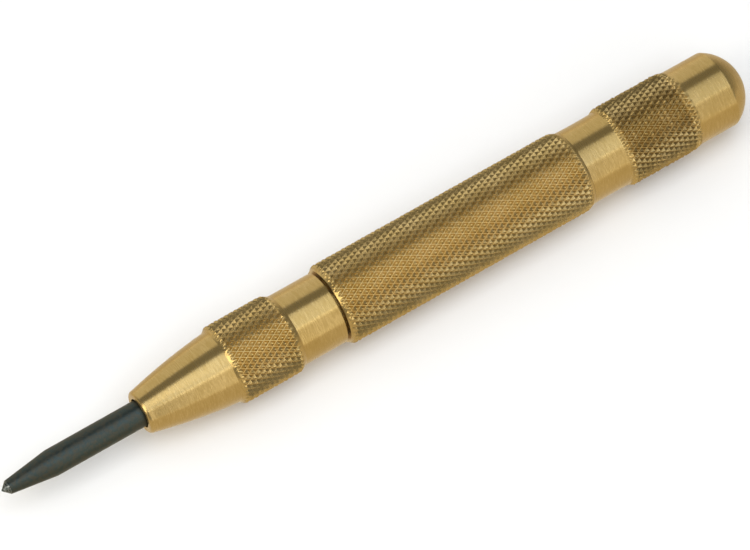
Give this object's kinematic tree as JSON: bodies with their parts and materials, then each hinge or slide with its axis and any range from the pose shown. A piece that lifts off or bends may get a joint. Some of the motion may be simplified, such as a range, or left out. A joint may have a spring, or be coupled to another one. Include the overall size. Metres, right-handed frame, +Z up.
{
  "type": "center punch",
  "caption": "Automatic spring-loaded center punch: knurled brass barrel, tapered nose and screw cap, with a slim dark steel point that slides in when pressed.",
  "frame": {"origin": "on the surface that the tool lies on, under the middle of its length and of its width", "axes": "+X along the tool's axis from the punch point to the adjusting cap, +Z up with the tool lying on its side"},
  "size_m": [0.13, 0.0132, 0.0131],
  "materials": {
    "turned_brass": "fine turned, satin bright",
    "knurled_brass": "diamond knurled",
    "blackened_steel": "hardened, black oxide, ground tip",
    "bright_steel": "turned, bright",
    "spring_steel": "drawn wire, oiled"
  },
  "bodies": {
    "barrel": {"barrel": "knurled_brass", "nose_piece": "turned_brass", "return_spring": "spring_steel", "main_spring": "spring_steel"},
    "plunger": {"plunger": "bright_steel", "punch_point": "blackened_steel"},
    "trip_pin": {"trip_pin": "bright_steel"},
    "hammer": {"hammer": "bright_steel"},
    "spring_seat": {"spring_seat": "bright_steel"},
    "adjusting_cap": {"adjusting_cap": "turned_brass"}
  },
  "joints": [
    {"name": "point_press", "type": "slide", "parent": "barrel", "child": "plunger", "axis": [1, 0, 0], "range_m": [0, 0.0085], "stiffness_N_per_m": 500, "springref_m": -0.008, "deforming": ["return_spring"]},
    {"name": "pin_tilt", "type": "hinge", "parent": "plunger", "child": "trip_pin", "pos_m": [-0.022, 0, 0.00655], "axis": [0, -1, 0], "range_deg": [0, 2.7]},
    {"name": "hammer_slide", "type": "slide", "parent": "barrel", "child": "hammer", "axis": [1, 0, 0], "range_m": [0, 0.0085], "stiffness_N_per_m": 4000, "springref_m": -0.006, "deforming": ["main_spring"]},
    {"name": "cap_travel", "type": "slide", "parent": "barrel", "child": "spring_seat", "axis": [1, 0, 0], "range_m": [0, 0.005], "deforming": ["main_spring"]},
    {"name": "cap_turn", "type": "hinge", "parent": "spring_seat", "child": "adjusting_cap", "pos_m": [0.048, 0, 0.00655], "axis": [1, 0, 0], "range_deg": [0, 1800]}
  ],
  "couplings": [
    {"joint": "pin_tilt", "follows": "point_press", "rad_per_m": 5.5029},
    {"joint": "hammer_slide", "follows": "point_press", "ratio": 1},
    {"joint": "cap_turn", "follows": "cap_travel", "rad_per_m": 6283}
  ]
}
